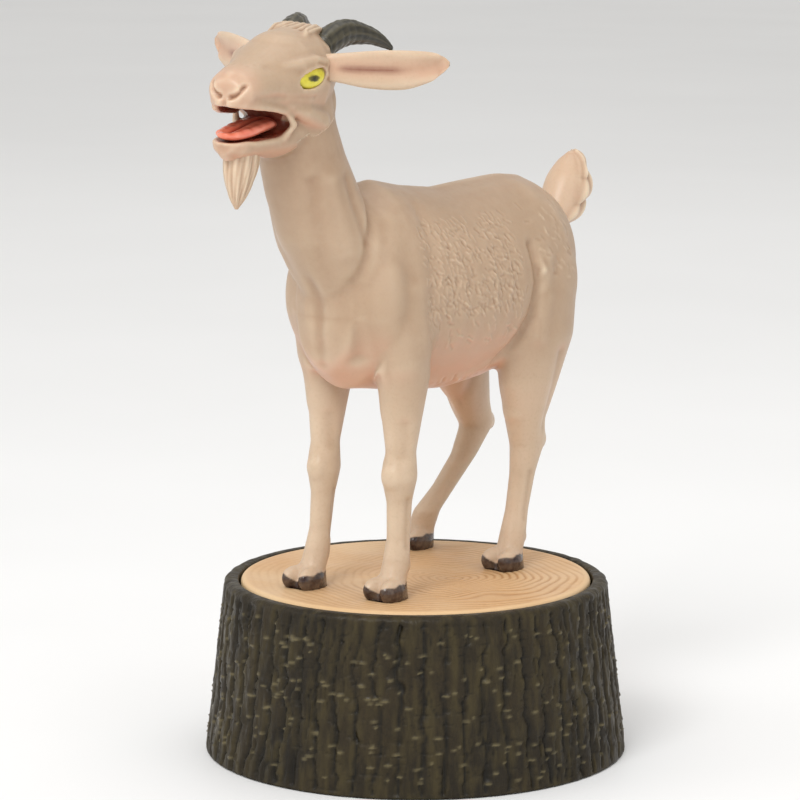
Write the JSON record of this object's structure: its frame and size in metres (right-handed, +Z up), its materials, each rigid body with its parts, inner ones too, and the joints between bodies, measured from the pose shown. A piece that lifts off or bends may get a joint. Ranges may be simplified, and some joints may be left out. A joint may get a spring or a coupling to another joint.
{
  "type": "goat figurine on a press-button stump",
  "caption": "Small moulded goat standing on a tree-stump base whose wood-look top is pressed to play a bleat.",
  "frame": {"origin": "centre of the stump's underside, in the plane it rests on", "axes": "+Z up out of the stump; the goat faces -Y and its left side is +X"},
  "size_m": [0.056, 0.075, 0.0985],
  "materials": {
    "goat_skin": "satin moulded vinyl, cream-tan, with painted hooves and eyes",
    "horn": "painted dark olive-black, satin gloss",
    "tongue": "painted orange-pink, wet gloss",
    "wood_look": "moulded sawn-wood face, tan with darker rings",
    "bark_look": "moulded bark, dark olive-brown",
    "base_plastic": "fine-textured moulded plastic, dark brown",
    "zinc_screw": "zinc-plated steel",
    "spring_steel": "nickel-plated spring steel",
    "cell_steel": "rolled stainless can",
    "contact_brass": "bright brass strip",
    "lead_insulation": "soft PVC insulation, one red and one black",
    "speaker_steel": "zinc-plated pressed steel",
    "cone_film": "translucent formed film",
    "board_green": "green solder mask",
    "black_resin": "black potting resin over the sound chip",
    "component": "board components",
    "switch_plastic": "black switch housing",
    "switch_red": "dark red switch stem"
  },
  "bodies": {
    "stump": {"bark_shell": "bark_look", "base_plate": "base_plastic", "base_screws": "zinc_screw", "battery_door": "base_plastic", "battery_door_screw": "zinc_screw", "button_cells": "cell_steel", "positive_contact": "contact_brass", "negative_contact": "spring_steel", "battery_leads": "lead_insulation", "speaker_frame": "speaker_steel", "speaker_cone": "cone_film", "speaker_magnet": "speaker_steel", "speaker_leads": "lead_insulation", "circuit_board": "board_green", "sound_chip": "black_resin", "board_components": "component", "board_screws": "zinc_screw", "switch_body": "switch_plastic", "return_springs": "spring_steel"},
    "press_top": {"goat_body": "goat_skin", "goat_head": "goat_skin", "left_ear": "goat_skin", "right_ear": "goat_skin", "left_horn": "horn", "right_horn": "horn", "tongue": "tongue", "beard": "goat_skin", "tail": "goat_skin", "press_disc": "wood_look", "guide_screws": "zinc_screw", "guide_washers": "zinc_screw"},
    "switch_stem": {"switch_stem": "switch_red"}
  },
  "joints": [
    {"name": "press_slide", "type": "slide", "parent": "stump", "child": "press_top", "axis": [0, 0, -1], "range_m": [0, 0.0015], "stiffness_N_per_m": 1500, "springref_m": -0.001, "deforming": ["return_springs"]},
    {"name": "stem_slide", "type": "slide", "parent": "stump", "child": "switch_stem", "axis": [0, 0, -1], "range_m": [0, 0.0015], "stiffness_N_per_m": 100, "springref_m": -0.0005}
  ],
  "couplings": [
    {"joint": "stem_slide", "follows": "press_slide", "ratio": 1}
  ]
}
